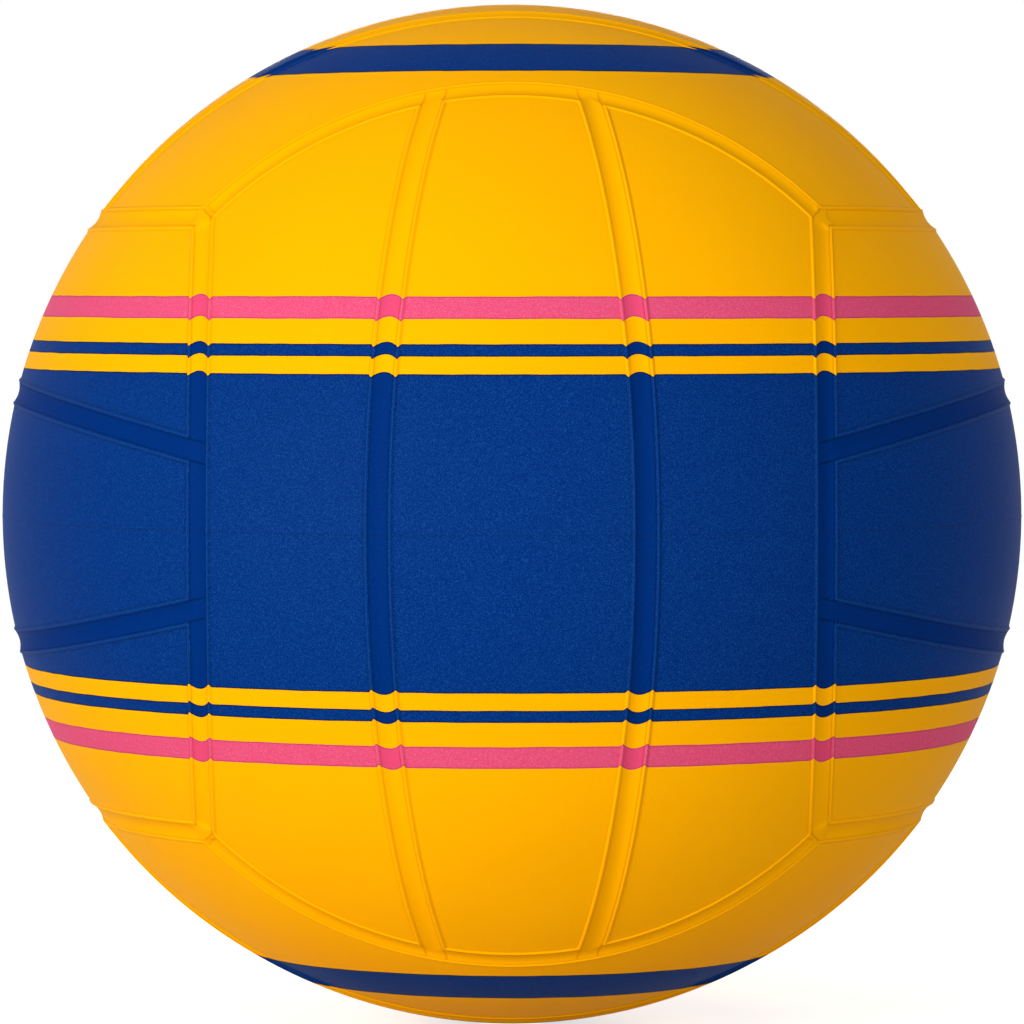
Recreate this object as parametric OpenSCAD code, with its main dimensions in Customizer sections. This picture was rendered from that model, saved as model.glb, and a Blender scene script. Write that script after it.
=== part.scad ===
// Water polo ball in millimetres. Eighteen rubber panels, in six groups of three, are bonded
// over a rubber carcass, a nylon winding and an air bladder, with rubber strips in the seam
// channels between them. A needle valve sits in the middle of the back group.
// The centre of the ball is the origin, +Z is up and the front group faces -Y.

/* [Ball] */
// Diameter over the panels, which is about 690 mm around
ball_d = 220; // [205:1:230]
// Angle from the middle of a group to its two inner seams, in degrees
inner_seam_angle = 14.1; // [11:0.1:16]

/* [Panels] */
// Thickness of a panel, from the carcass to its face
panel_t = 1.3; // [1.1:0.1:1.6]
// Width of the channel between two panels
channel_w = 4.2; // [3:0.1:6]
// Width of the raised lip along a panel's edge
lip_w = 1.15; // [0.6:0.05:2]
// Height of that lip over the panel's face
lip_h = 0.3; // [0.1:0.05:0.4]

/* [Seam strips] */
// How far a strip's edges lie under the panels' faces
strip_edge_drop = 0; // [0:0.05:0.1]
// How far a strip's hollow middle lies under its edges
strip_hollow = 0.3; // [0.3:0.05:0.6]

/* [Layers] */
// Thickness of the carcass
carcass_t = 0.4; // [0.3:0.1:0.8]
// Thickness of the nylon winding
winding_t = 0.4; // [0.3:0.1:0.8]
// Thickness of the bladder's wall
bladder_t = 0.55; // [0.5:0.05:1]
// Room for the bond between two pieces
bond = 0.05; // [0.02:0.01:0.1]

/* [Valve] */
// Diameter of the housing's barrel
barrel_d = 10; // [9:0.5:12]
// Depth of the housing's barrel
barrel_l = 15.5; // [14:0.5:20]
// How far the barrel's end lies under the ball's surface
barrel_sunk = 0.2; // [0.1:0.1:0.5]
// Diameter of the flange bonded inside the bladder
flange_d = 28; // [22:1:34]
// Thickness of that flange
flange_t = 1.2; // [0.8:0.1:2]
// Diameter of the core's head
core_head_d = 7.2; // [6.4:0.1:7.6]
// Length of the core's head
core_head_l = 2.6; // [2:0.1:4]
// Diameter of the core's stem
core_stem_d = 5.2; // [4.6:0.1:5.8]
// How far the core's face lies under the barrel's end
core_sunk = 0.1; // [0:0.1:0.3]
// Diameter of the needle's hole
needle_d = 2; // [1.8:0.1:2.2]
// Length of the needle's hole under its funnel
needle_l = 10; // [8:0.5:11]
// Depth of the funnel that leads the needle in
funnel_l = 0.4; // [0.3:0.1:0.6]
// Diameter of the funnel at the core's face
funnel_d = 3; // [2.6:0.1:4.4]
// Width of the slit that closes when the needle is drawn out
slit_w = 0.2; // [0.1:0.05:0.3]
// Radial play of the core in the housing
core_play = 0.05; // [0.02:0.01:0.1]

/* [Hidden] */
$fn = 96;
// Finer circles for the thin section of a seam strip
thin_fn = 720;
ball_r = ball_d / 2;

// Radii of the layers, from the outside in
panel_in_r = ball_r - panel_t;
carcass_r = panel_in_r - bond;
winding_r = carcass_r - carcass_t - bond;
bladder_r = winding_r - winding_t - bond;
flange_r = bladder_r - bladder_t - bond;

// A border seam runs where a coordinate is the radius over the root of 3, so that three of
// them meet at each corner of a cube set in the ball. Its cone about that axis:
border_angle = acos(1 / sqrt(3));
half_channel_angle = asin(channel_w / 2 / ball_r);
strip_w = channel_w - 2 * bond;
half_strip_angle = asin(strip_w / 2 / ball_r);

// The hollow of a strip is an arc through its two edges and its middle
hollow_arc_r = (strip_w * strip_w / 4 + strip_hollow * strip_hollow) / (2 * strip_hollow);
hollow_arc_at = ball_r - strip_edge_drop - strip_hollow + hollow_arc_r;

// Places along the valve's axis, from the ball's centre
barrel_top = ball_r - barrel_sunk;
barrel_bottom = barrel_top - barrel_l;
core_top = barrel_top - core_sunk;
core_seat = core_top - core_head_l;
core_bottom = barrel_bottom + bond;

// Larger than the ball, for cutting
reach = ball_d;
// How far a cutter passes a face
past = 1;

// The three pairs of opposite groups. Pair 0 faces +Y and -Y and its panels run along Z. Each
// further pair is the one before it with X, Y and Z passed on to Y, Z and X.
PAIRS = [0, 1, 2];
SIDES = [-1, 1];
PLACES = [-1, 0, 1];
GROUPS = [["front", "back"], ["bottom", "top"], ["left", "right"]];
PLACE_NAMES = [
    ["left", "middle", "right"],
    ["front", "middle", "rear"],
    ["lower", "middle", "upper"]
];

function index(side) = side < 0 ? 0 : 1;
function group_name(pair, side) = GROUPS[pair][index(side)];
function place_name(pair, place) = PLACE_NAMES[pair][place + 1];
function panel_name(pair, side, place) =
    str(group_name(pair, side), "_", place_name(pair, place), "_panel");
function inner_seam_name(pair, side, place) =
    str(group_name(pair, side), "_", place_name(pair, place), "_seam");
function border_seam_name(pair, side, end) =
    str(group_name(pair, side), "_to_", group_name((pair + 1) % 3, end), "_seam");

// Shared shapes

module shell(outer_r, inner_r) {
    difference() {
        sphere(r = outer_r);
        sphere(r = inner_r);
    }
}

// A cone from the ball's centre about +Z
module cone(half_angle) {
    cylinder(h = reach, r1 = 0, r2 = reach * tan(half_angle));
}

// Everything further along a direction than a distance from the centre
module half_space(direction, distance) {
    rotate([0, acos(direction.z / norm(direction)), atan2(direction.y, direction.x)])
        translate([-reach, -reach, distance])
            cube(2 * reach);
}

// Turns what is made for the group that faces +Y to another group
module to_group(pair, side) {
    rotate(a = 120 * pair, v = [1, 1, 1])
        mirror([0, side < 0 ? 1 : 0, 0])
            children();
}

// The plane of an inner seam holds the Z axis. This turns the YZ plane into it.
module to_inner_seam(place) {
    rotate([0, 0, -place * inner_seam_angle]) children();
}

module valve_axis() {
    rotate([-90, 0, 0]) children();
}

// A hole round the barrel through the layers at the back of the ball
module barrel_hole() {
    valve_axis()
        translate([0, 0, barrel_bottom - past])
            cylinder(h = barrel_l + 2 * past, d = barrel_d + 2 * bond);
}

// Cover panels

// The part of a spherical shell that one panel covers, drawn in from its edges by inset
module panel_patch(place, outer_r, inner_r, inset) {
    edge = channel_w / 2 + inset;
    edge_angle = asin(edge / ball_r);
    difference() {
        intersection() {
            shell(outer_r, inner_r);
            valve_axis() cone(border_angle - edge_angle);
            if (place != 0) to_inner_seam(place) half_space([place, 0, 0], edge);
            if (place == 0)
                intersection_for (seam = SIDES)
                    to_inner_seam(seam) half_space([-seam, 0, 0], edge);
        }
        if (place != 0) rotate([0, 90 * place, 0]) cone(border_angle + edge_angle);
    }
}

module panel(place) {
    difference() {
        panel_patch(place, ball_r + lip_h, panel_in_r, 0);
        panel_patch(place, ball_r + lip_h + past, ball_r, lip_w);
    }
}

module cover_panel(pair, side, place) {
    has_valve = pair == 0 && side > 0 && place == 0;
    color("gold")
        difference() {
            to_group(pair, side) panel(place);
            if (has_valve) barrel_hole();
        }
}

// Seam strips

// Cross-section of a strip, with the ball's radius along X and the strip's width along Y
module strip_section() {
    difference() {
        intersection() {
            circle(r = ball_r - strip_edge_drop, $fn = thin_fn);
            translate([carcass_r, -strip_w / 2]) square([2 * panel_t, strip_w]);
        }
        circle(r = carcass_r + bond, $fn = thin_fn);
        translate([hollow_arc_at, 0]) circle(r = hollow_arc_r, $fn = thin_fn);
    }
}

module inner_seam(place) {
    half_sweep = border_angle + 2 * half_channel_angle;
    intersection() {
        to_inner_seam(place)
            rotate(a = 120, v = [1, 1, 1])
                rotate([0, 0, -half_sweep])
                    rotate_extrude(angle = 2 * half_sweep)
                        strip_section();
        valve_axis() cone(border_angle + half_strip_angle);
    }
}

// A ring about +Y between the group that faces +Y and the one above it, cut to the length
// from corner to corner, with a mitre at each end and a gap for each inner seam
module border_seam() {
    // Past the corners, which are 45 degrees from the middle, for the mitres to cut
    half_sweep = 60;
    difference() {
        intersection() {
            valve_axis()
                rotate([0, 0, -90 - half_sweep])
                    rotate_extrude(angle = 2 * half_sweep)
                        rotate([0, 0, 90 - border_angle])
                            strip_section();
            intersection_for (end = SIDES) half_space([2 * end, 1, 1], bond / 2);
            intersection_for (end = SIDES) half_space([end, -1, 2], bond / 2);
        }
        for (place = SIDES)
            to_inner_seam(place)
                translate([-channel_w / 2, 0, 0])
                    cube([channel_w, reach, reach]);
    }
}

module inner_seam_strip(pair, side, place) {
    color("goldenrod") to_group(pair, side) inner_seam(place);
}

module border_seam_strip(pair, side, end) {
    color("goldenrod")
        to_group(pair, side)
            mirror([0, 0, end < 0 ? 1 : 0])
                border_seam();
}

// Inner layers

module carcass() {
    color("peru")
        difference() {
            shell(carcass_r, carcass_r - carcass_t);
            barrel_hole();
        }
}

module winding() {
    color("white")
        difference() {
            shell(winding_r, winding_r - winding_t);
            barrel_hole();
        }
}

module bladder() {
    color("black")
        difference() {
            shell(bladder_r, bladder_r - bladder_t);
            barrel_hole();
        }
}

// Valve

module valve_housing() {
    color("darkslategray")
        valve_axis()
            difference() {
                union() {
                    translate([0, 0, barrel_bottom]) cylinder(h = barrel_l, d = barrel_d);
                    intersection() {
                        shell(flange_r, flange_r - flange_t);
                        cylinder(h = reach, d = flange_d);
                    }
                }
                translate([0, 0, barrel_bottom - past])
                    cylinder(h = barrel_l + 2 * past, d = core_stem_d + 2 * core_play);
                translate([0, 0, core_seat - core_play])
                    cylinder(h = barrel_l, d = core_head_d + 2 * core_play);
            }
}

module valve_core() {
    funnel_bottom = core_top - funnel_l;
    needle_bottom = funnel_bottom - needle_l;
    color("black")
        valve_axis()
            difference() {
                union() {
                    translate([0, 0, core_seat]) cylinder(h = core_head_l, d = core_head_d);
                    translate([0, 0, core_bottom]) cylinder(h = core_seat - core_bottom, d = core_stem_d);
                }
                translate([0, 0, funnel_bottom]) cylinder(h = funnel_l, d1 = needle_d, d2 = funnel_d);
                translate([0, 0, needle_bottom]) cylinder(h = needle_l, d = needle_d);
                translate([-slit_w / 2, -needle_d / 2, core_bottom - past])
                    cube([slit_w, needle_d, needle_bottom - core_bottom + 2 * past]);
            }
}

for (pair = PAIRS) for (side = SIDES) for (place = PLACES)
    cover_panel(pair, side, place);
for (pair = PAIRS) for (side = SIDES) for (place = SIDES)
    inner_seam_strip(pair, side, place);
for (pair = PAIRS) for (side = SIDES) for (end = SIDES)
    border_seam_strip(pair, side, end);
carcass();
winding();
bladder();
valve_housing();
valve_core();
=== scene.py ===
# %% [markdown]
# # A moulded water polo ball
# The bare model of the ball is exact in size but plain: flat-lipped panels, simple strips and flat
# colours. This lesson gives each piece its moulded form and its rubber, and then lights it like a
# studio photograph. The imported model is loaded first. It is the frame that every new piece is made
# to, so it is never moved.

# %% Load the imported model
import math

import bmesh
import bpy
import numpy as np
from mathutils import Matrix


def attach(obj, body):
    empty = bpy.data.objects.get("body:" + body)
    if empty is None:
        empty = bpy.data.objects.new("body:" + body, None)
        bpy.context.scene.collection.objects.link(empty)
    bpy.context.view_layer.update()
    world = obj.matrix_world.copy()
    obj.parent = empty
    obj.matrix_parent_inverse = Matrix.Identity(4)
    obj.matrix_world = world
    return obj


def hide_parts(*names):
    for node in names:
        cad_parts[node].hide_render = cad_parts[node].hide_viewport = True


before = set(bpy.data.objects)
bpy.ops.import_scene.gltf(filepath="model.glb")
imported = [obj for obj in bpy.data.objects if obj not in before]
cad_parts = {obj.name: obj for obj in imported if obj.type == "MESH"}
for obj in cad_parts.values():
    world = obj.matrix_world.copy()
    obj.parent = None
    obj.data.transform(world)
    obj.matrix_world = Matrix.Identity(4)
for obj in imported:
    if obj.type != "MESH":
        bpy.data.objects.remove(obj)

scene = bpy.context.scene
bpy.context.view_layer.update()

# %% [markdown]
# ## The layout of the cover
# Eighteen rubber panels lie in six groups of three, one group to each face of a cube set in the
# ball. The panels of one pair of groups run up and down, of the next from left to right, of the
# last from front to back. So only one group has to be described: the others are the same one with
# its coordinates passed round. Every edge is a circle, where a plane cuts the ball, and a plane is
# just a direction and a distance.

# %% Sizes of the ball and its channels, in metres
MM = 0.001
BALL_R = 110 * MM
PANEL_T = 1.3 * MM
BOND = 0.05 * MM
# Half the width of the channel between two panels, and of the strip that fills it
CHANNEL_HALF = 2.1 * MM
STRIP_HALF = CHANNEL_HALF - BOND
# From the middle of a group to its two inner seams, and to the border of the group
SEAM_ANGLE = math.radians(14.1)
BORDER_ANGLE = math.acos(1 / math.sqrt(3))
print("Border of a group at", round(math.degrees(BORDER_ANGLE), 2), "degrees from its middle")

# %% Groups and planes
GROUPS = (("front", "back"), ("bottom", "top"), ("left", "right"))
PLACES = (("left", "middle", "right"), ("front", "middle", "rear"), ("lower", "middle", "upper"))
SIDES = (-1, 1)
UP = np.array([0.0, 0.0, 1.0])


def plane(x, y, z, distance):
    """A plane as its direction and its distance from the centre of the ball."""
    direction = np.array([x, y, z], float)
    return direction / np.linalg.norm(direction), distance


def seam_plane(place, distance):
    """The plane beside an inner seam, on the left (-1) or right (1) of the middle panel."""
    return plane(place * math.cos(SEAM_ANGLE), -math.sin(SEAM_ANGLE), 0, distance)


def border_plane(offset, axis=(0, 1, 0)):
    """The plane along a group's border, at an offset outwards from the middle of the channel."""
    return plane(*axis, BALL_R * math.cos(BORDER_ANGLE + math.asin(offset / BALL_R)))


def to_group(points, pair, side):
    """Moves what is made for the group that faces +Y to another group."""
    return np.roll(points * (1, side, 1), pair, axis=-1)


print("The middle of the front group is towards", to_group(np.array([0, 1, 0]), 0, -1))

# %% [markdown]
# ## A sheet of rubber as a grid
# A panel could be cut from a sphere, but then its faces would ignore its edges, and the lip along
# the edge would be ragged. Here the grid runs parallel to the four edges instead: the edges are
# blended across the sheet (a Coons patch), and each point is pushed out to the ball. The lines are
# close together at the edges and across the middle, because that is where the fine moulded detail
# is, and far apart between.

# %% Points between four edges
def meet(one, other, near):
    """The point of the ball that lies in two planes, on the side that near points to."""
    (n1, d1), (n2, d2) = one, other
    lean = n1 @ n2
    foot = ((d1 - d2 * lean) * n1 + (d2 - d1 * lean) * n2) / (1 - lean * lean)
    line = np.cross(n1, n2)
    rise = math.sqrt(BALL_R**2 - foot @ foot) / np.linalg.norm(line)
    return foot + line * math.copysign(rise, line @ near)


def along_edge(planes, corners, t):
    """Points at shares t of an edge that runs through corners, one plane from each to the next."""
    points = np.empty(t.shape + (3,))
    for i, (direction, distance) in enumerate(planes):
        here = (t * len(planes) >= i) & (t * len(planes) <= i + 1)
        share = (t[here] * len(planes) - i)[:, None]
        centre = distance * direction
        start, end = corners[i] - centre, corners[i + 1] - centre
        turn = math.acos(start @ end / (np.linalg.norm(start) * np.linalg.norm(end)))
        arc = np.sin((1 - share) * turn) * start + np.sin(share * turn) * end
        points[here] = centre + arc / math.sin(turn)
    return points


def blend_edges(edges, u, v):
    """Points on the ball at shares u and v between the edges left, right, bottom and top."""
    left, right, bottom, top = [
        along_edge(planes, corners, t) for (planes, corners), t in zip(edges, (v, v, u, u))
    ]
    (low_left, *_, low_right), (high_left, *_, high_right) = edges[2][1], edges[3][1]
    u, v = u[..., None], v[..., None]
    flat = (1 - u) * left + u * right + (1 - v) * bottom + v * top
    flat -= (1 - v) * ((1 - u) * low_left + u * low_right)
    flat -= v * ((1 - u) * high_left + u * high_right)
    return flat * BALL_R / np.linalg.norm(flat, axis=-1, keepdims=True)


corner = meet(border_plane(0), border_plane(0, (1, 0, 0)), UP)
print("Three borders meet at", (corner / MM).round(1), "mm")

# %% Lines of a grid, and rounded corners
FINEST = 0.1 * MM
EVEN_LINES = 12
GROWTH = 1.25
# More lines than any sheet needs
MOST_LINES = 200
# The mould's two halves meet on the equator, and leave a fine line there
PARTING_W = 0.35 * MM
PARTING_LINES = PARTING_W * np.linspace(-1, 1, 9)


def lines(length, widest, middle):
    """Shares of a length for the lines of a grid: fine at both edges, and at places in between."""
    steps = FINEST * GROWTH ** np.maximum(np.arange(MOST_LINES) - EVEN_LINES, 0)
    from_edge = np.cumsum(np.minimum(steps, widest))
    from_edge = from_edge[from_edge < length / 2 - middle.max() - FINEST]
    places = [[0], from_edge, length / 2 + middle, length - from_edge[::-1], [length]]
    return np.concatenate(places) / length


def round_corners(u, v, width, length, radius):
    """Draws the corners of a grid in to quarter circles."""
    near_u = np.minimum(u, 1 - u) * width / radius
    near_v = np.minimum(v, 1 - v) * length / radius
    p, q = np.maximum(1 - near_u, 0), np.maximum(1 - near_v, 0)
    new_u = (1 - p * np.sqrt(1 - q * q / 2)) * radius / width
    new_v = (1 - q * np.sqrt(1 - p * p / 2)) * radius / length
    u = np.where(p > 0, np.where(u < 0.5, new_u, 1 - new_u), u)
    v = np.where(q > 0, np.where(v < 0.5, new_v, 1 - new_v), v)
    return u, v


print(EVEN_LINES, "lines", FINEST / MM, "mm apart at each edge, then steps that grow by", GROWTH)

# %% A sheet as a whole
def sheet(
    left, right, bottom, top, nears, widest, radius=None, middles=(PARTING_LINES, PARTING_LINES)
):
    """A grid between two side planes and the planes of two ends, with round corners if asked."""
    ends = []
    for planes, near in zip((bottom, top), nears):
        turns = [meet(a, b, near) for a, b in zip([left] + planes, planes + [right])]
        ends.append((planes, turns))
    corners = [turns for planes, turns in ends]
    sides = [([side], [corners[0][i], corners[1][i]]) for side, i in ((left, 0), (right, -1))]
    edges = sides + ends
    cross = blend_edges(edges, np.array([0, 1, 0.5, 0.5]), np.array([0.5, 0.5, 0, 1]))
    width, length = (BALL_R * math.acos(a @ b / BALL_R**2) for a, b in (cross[:2], cross[2:]))
    u, v = np.meshgrid(lines(width, widest, middles[0]), lines(length, widest, middles[1]))
    if radius:
        u, v = round_corners(u, v, width, length, radius)
    return blend_edges(edges, u, v)


def grid_faces(points):
    """Four-sided faces of a grid of points."""
    rows, columns = points.shape[:2]
    corner = (np.arange(rows - 1)[:, None] * columns + np.arange(columns - 1)).ravel()
    return np.stack([corner, corner + 1, corner + columns + 1, corner + columns], axis=1)


print("A grid of 3 by 4 points has", len(grid_faces(np.zeros((3, 4, 3)))), "faces")

# %% [markdown]
# ## Nodes, and a colour from a hex value
# Geometry trees and materials are both made of nodes. One small function adds a node with its
# settings and links, so that each tree below reads from top to bottom like a recipe. Colours are
# written as the sRGB hex values that one would pick from a photograph, and Blender wants them
# linear.

# %% One way to add a node
def add(tree, kind, inputs=None, **settings):
    """A new node in a tree. Inputs are values or other nodes' sockets, by name or number."""
    node = tree.nodes.new(kind)
    for name, value in settings.items():
        setattr(node, name, value)
    for key, value in (inputs or {}).items():
        if isinstance(value, bpy.types.NodeSocket):
            tree.links.new(value, node.inputs[key])
        else:
            node.inputs[key].default_value = value
    return node


def linear(hex_colour):
    """Linear red, green, blue and alpha of an sRGB colour such as #FFB400."""
    shares = [int(hex_colour[i : i + 2], 16) / 255 for i in (1, 3, 5)]
    return [s / 12.92 if s <= 0.04045 else ((s + 0.055) / 1.055) ** 2.4 for s in shares] + [1.0]


def blank(name):
    """A new material with its tree, its shader and the place of a point on the object."""
    material = bpy.data.materials.new(name)
    material.use_nodes = True
    tree = material.node_tree
    place = add(tree, "ShaderNodeTexCoord").outputs["Object"]
    return material, tree, tree.nodes["Principled BSDF"], place


YELLOW = "#FFB400"
print("Yellow of the rubber in linear light:", [round(c, 3) for c in linear(YELLOW)])

# %% [markdown]
# ## Printed, grained rubber
# The cover is natural rubber, coloured through and cured in a mould whose face was blasted with
# grit. The grit gives the panels a matte grain of about a quarter of a millimetre that grips when
# wet. On dark ink, light flecks are painted on the tops of the grain as glints of light. The crests
# of the lips are painted lighter, partly wear and partly a painted highlight, and painted shade
# darkens the mould line and the foot of each lip. The ink is printed before moulding, so its edge
# is crisp, but it jogs a little where the rubber flows into a channel. The design is plain bands
# round the ball, so the material only needs the height over the equator to draw them. Each step of
# the finish is a small function that adds its own nodes.

# %% Grain, and painted glints and highlights
GRAIN_MM = 0.26
# The finer grit: how many times finer it is, and its share in the height of the grain
DUST_FINER, DUST_SHARE = 2.3, 0.4
# Heights of the grain between which the ink turns lighter, up to a fleck: painted glints of the
# grain's tops
GLINT_FROM, GLINT_TO = 0.66, 0.92
# Rise of a lip from which its crest is lighter, rise at which it is lightest, and how light that is:
# partly wear, partly a painted highlight
WEAR_HIGHLIGHT_FROM_MM, WEAR_HIGHLIGHT_TO_MM, WEAR_HIGHLIGHT_SHARE = 0.26, 0.32, 0.35


def grained(tree, place):
    """Two sizes of grit: the noise of the larger, and the height of both together."""
    grit = add(
        tree, "ShaderNodeTexNoise",
        {"Vector": place, "Scale": 1 / (GRAIN_MM * MM), "Detail": 2.0, "Roughness": 0.6},
    ).outputs["Fac"]
    dust = add(
        tree, "ShaderNodeTexNoise",
        {"Vector": place, "Scale": DUST_FINER / (GRAIN_MM * MM), "Detail": 1.0},
    ).outputs["Fac"]
    grain = add(
        tree, "ShaderNodeMath", {0: dust, 1: DUST_SHARE, 2: grit}, operation="MULTIPLY_ADD"
    )
    return grit, grain.outputs[0]


def wear_and_painted_glints(tree, grain, relief, glint_share):
    """How light the crests of the lips are, partly wear and partly a painted highlight, and how
    light that and the painted glints of the grain make the ink.
    """
    glint_specks = add(
        tree, "ShaderNodeMapRange",
        {"Value": grain, "From Min": GLINT_FROM, "From Max": GLINT_TO, "To Max": glint_share},
    ).outputs[0]
    wear_highlight = add(
        tree, "ShaderNodeMapRange",
        {"Value": relief, "From Min": WEAR_HIGHLIGHT_FROM_MM, "From Max": WEAR_HIGHLIGHT_TO_MM, "To Max": WEAR_HIGHLIGHT_SHARE},
    ).outputs[0]
    pale = add(tree, "ShaderNodeMath", {0: glint_specks, 1: wear_highlight}, operation="MAXIMUM")
    return wear_highlight, pale.outputs[0]


print("Grain of", GRAIN_MM, "mm, with dust", DUST_FINER, "times finer")

# %% Yellow rubber, and where the ink lies on it
# The yellow's second tone, and the lighter yellow of the lips' crests: partly wear, partly a painted
# highlight
YELLOW_SHADE, YELLOW_WEAR_HIGHLIGHT = "#FCAC00", "#FFB80C"
# The yellow drifts slowly over this distance, because the rubber is mixed in batches
DRIFT_MM = 40
# How far the ink's edge shifts for each mm that the rubber rises or falls
INK_SHIFT = 1.6
# How far the ink's edge wanders, and over which distance
INK_WANDER_MM, WANDER_OVER_MM = 0.25, 8


def coloured_through(tree, place, wear_highlight):
    """The colour of the bare rubber, lighter on the crests of the lips: partly wear, partly a
    painted highlight.
    """
    drift = add(
        tree, "ShaderNodeTexNoise",
        {"Vector": place, "Scale": 1 / (DRIFT_MM * MM), "Detail": 3.0},
    )
    mixed = add(
        tree, "ShaderNodeMix",
        {"Factor": drift.outputs["Fac"], "A": linear(YELLOW), "B": linear(YELLOW_SHADE)},
        data_type="RGBA",
    )
    # Lighter on the crests of the lips: partly wear, partly a painted highlight
    return add(
        tree, "ShaderNodeMix",
        {"Factor": wear_highlight, "A": mixed.outputs["Result"], "B": linear(YELLOW_WEAR_HIGHLIGHT)},
        data_type="RGBA",
    ).outputs["Result"]


def heights(tree, place, relief):
    """Height over or under the equator in mm, as it is and as the ink was carried along."""
    axes = add(tree, "ShaderNodeSeparateXYZ", {"Vector": place})
    height = add(tree, "ShaderNodeMath", {0: axes.outputs["Z"]}, operation="ABSOLUTE")
    in_mm = add(
        tree, "ShaderNodeMath", {0: height.outputs[0], 1: 1 / MM}, operation="MULTIPLY"
    ).outputs[0]
    flow = add(
        tree, "ShaderNodeMath", {0: relief, 1: INK_SHIFT, 2: in_mm}, operation="MULTIPLY_ADD"
    )
    wander = add(
        tree, "ShaderNodeTexNoise",
        {"Vector": place, "Scale": 1 / (WANDER_OVER_MM * MM), "Detail": 2.0},
    )
    carried = add(
        tree, "ShaderNodeMath",
        {0: wander.outputs["Fac"], 1: INK_WANDER_MM, 2: flow.outputs[0]}, operation="MULTIPLY_ADD",
    )
    return in_mm, carried.outputs[0]


print("The ink wanders by", INK_WANDER_MM, "mm over", WANDER_OVER_MM, "mm")

# %% Bands of ink
# Colours of the ink, of its light flecks, which are painted glints of the grain, and of its rim
BLUE = "#00296E", "#1A539C", "#061338"
PINK = "#DC4670", "#E87C98", "#BE3A60"
# Lower and upper edge of each band, in mm over or under the equator. The widest band takes in the
# side seams, so that no edge of ink runs along a channel.
BANDS = ((BLUE, -1, 32), (BLUE, 35.5, 38), (PINK, 43, 47.5), (BLUE, 94, 100))
# Half the width over which the ink's edge is soft
SOFT_MM = 0.05
# The dark rim of the ink, where it laps the yellow, is full up to here and gone from there
RIM_FULL_MM, RIM_END_MM = 0.1, 0.35


def printed(tree, colour, carried, pale):
    """Lays the bands of ink over a colour."""
    for (ink, glint_colour, rim), lower, upper in BANDS:
        # Distance inside the band's nearer edge, in mm
        off_middle = add(
            tree, "ShaderNodeMath", {0: carried, 1: (lower + upper) / 2}, operation="SUBTRACT"
        )
        off_middle = add(tree, "ShaderNodeMath", {0: off_middle.outputs[0]}, operation="ABSOLUTE")
        inside = add(
            tree, "ShaderNodeMath",
            {0: (upper - lower) / 2, 1: off_middle.outputs[0]}, operation="SUBTRACT",
        ).outputs[0]
        inked = add(
            tree, "ShaderNodeMapRange",
            {"Value": inside, "From Min": -SOFT_MM, "From Max": SOFT_MM},
        )
        lap = add(
            tree, "ShaderNodeMapRange",
            {
                "Value": inside, "From Min": RIM_FULL_MM, "From Max": RIM_END_MM,
                "To Min": 1.0, "To Max": 0.0,
            },
        )
        # The ink turns lighter on the flecks and the crests: painted glints and highlights, with
        # some wear
        body = add(
            tree, "ShaderNodeMix",
            {"Factor": pale, "A": linear(ink), "B": linear(glint_colour)}, data_type="RGBA",
        )
        body = add(
            tree, "ShaderNodeMix",
            {"Factor": lap.outputs[0], "A": body.outputs["Result"], "B": linear(rim)},
            data_type="RGBA",
        )
        colour = add(
            tree, "ShaderNodeMix",
            {"Factor": inked.outputs[0], "A": colour, "B": body.outputs["Result"]},
            data_type="RGBA",
        ).outputs["Result"]
    return colour


print(len(BANDS), "bands over the equator, and the same under it")

# %% Painted shade along the mould line and the foot of the lips
# The mould line is a fine ridge, and painted shade darkens the colour along it: its colour and
# strength there, and the distances up to which it is full and from which it is gone
LINE_SHADE, LINE_SHADE_SHARE = "#1A1408", 0.15
LINE_FULL_MM, LINE_END_MM = 0.06, 0.22
# Painted shade along the foot of a lip and the crease of a strip: what it leaves of each colour's
# light, how far it reaches and how strong it is
FOOT_SHADE_TINT = (0.9, 0.76, 0.6, 1.0)
FOOT_SHADE_REACH_MM, FOOT_SHADE_SHARE = 0.32, 0.7


def painted_shade(tree, colour, height_mm, foot_mm):
    """Darkens a colour with painted shade along the mould line, and at a known distance from the
    sheet's edge: the foot of a lip or crease.
    """
    # Painted shade along the mould line
    line = add(
        tree, "ShaderNodeMapRange",
        {
            "Value": height_mm, "From Min": LINE_FULL_MM, "From Max": LINE_END_MM,
            "To Min": LINE_SHADE_SHARE, "To Max": 0.0,
        },
    )
    colour = add(
        tree, "ShaderNodeMix",
        {"Factor": line.outputs[0], "A": colour, "B": linear(LINE_SHADE)}, data_type="RGBA",
    ).outputs["Result"]
    # Painted shade along the foot of the lip, a set distance from the sheet's edge
    edge = add(tree, "ShaderNodeAttribute", attribute_name="edge").outputs["Fac"]
    from_foot = add(tree, "ShaderNodeMath", {0: edge, 1: foot_mm * MM}, operation="SUBTRACT")
    from_foot = add(tree, "ShaderNodeMath", {0: from_foot.outputs[0]}, operation="ABSOLUTE")
    foot_shade = add(
        tree, "ShaderNodeMapRange",
        {
            "Value": from_foot.outputs[0], "From Max": FOOT_SHADE_REACH_MM * MM,
            "To Min": FOOT_SHADE_SHARE, "To Max": 0.0,
        },
        interpolation_type="SMOOTHSTEP",
    )
    return add(
        tree, "ShaderNodeMix",
        {"Factor": foot_shade.outputs[0], "A": colour, "B": FOOT_SHADE_TINT},
        data_type="RGBA", blend_type="MULTIPLY",
    ).outputs["Result"]


# How far the painted shade at the foot of a lip reaches to each side
print("Painted shade reaches", FOOT_SHADE_REACH_MM, "mm to each side of a lip's foot")

# %% The rubber of the panels and strips
RUBBER_IOR = 1.5
# Noise of the grit between which the roughness goes from the one to the other
GRIT_FROM, GRIT_TO = 0.3, 0.7
SMOOTHEST, ROUGHEST = 0.45, 0.55


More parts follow.
